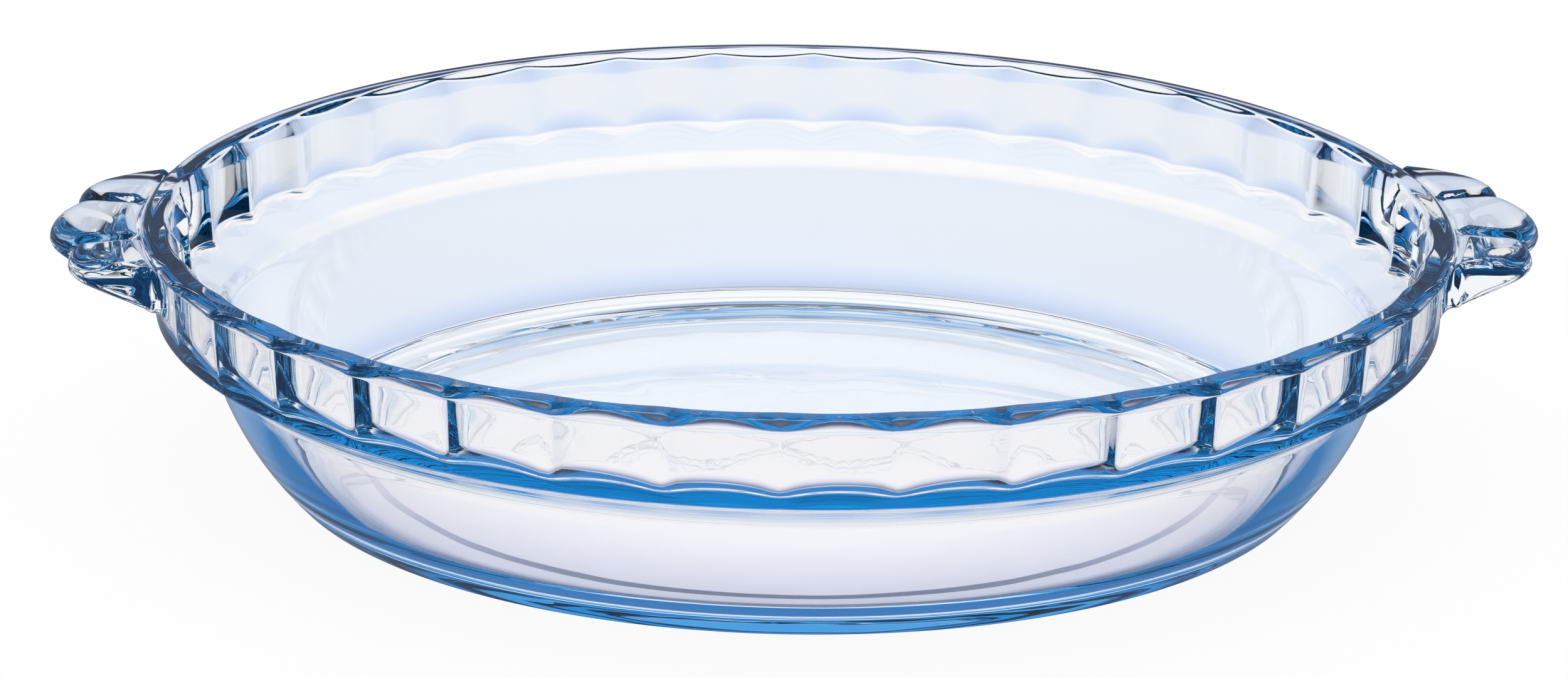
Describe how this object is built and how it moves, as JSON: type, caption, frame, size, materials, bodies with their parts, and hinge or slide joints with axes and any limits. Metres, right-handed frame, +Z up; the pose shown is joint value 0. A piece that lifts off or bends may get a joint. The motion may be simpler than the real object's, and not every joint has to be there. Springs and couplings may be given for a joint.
{
  "type": "pie dish",
  "caption": "Clear pressed-glass pie dish with a flat floor, sloping wall, fluted collar, rolled rim and lobed lug handles.",
  "frame": {"origin": "centre of the foot, on the surface the dish stands on", "axes": "+X through the handles, +Y towards the back of the dish in the picture, +Z up"},
  "size_m": [0.2586, 0.2268, 0.0445],
  "materials": {
    "borosilicate_glass": "clear, pressed and fire-polished, faintly blue where it is thick"
  },
  "bodies": {
    "root": {"base": "borosilicate_glass", "side_wall": "borosilicate_glass", "fluted_collar": "borosilicate_glass", "rim": "borosilicate_glass", "left_handle": "borosilicate_glass", "right_handle": "borosilicate_glass"}
  },
  "joints": []
}
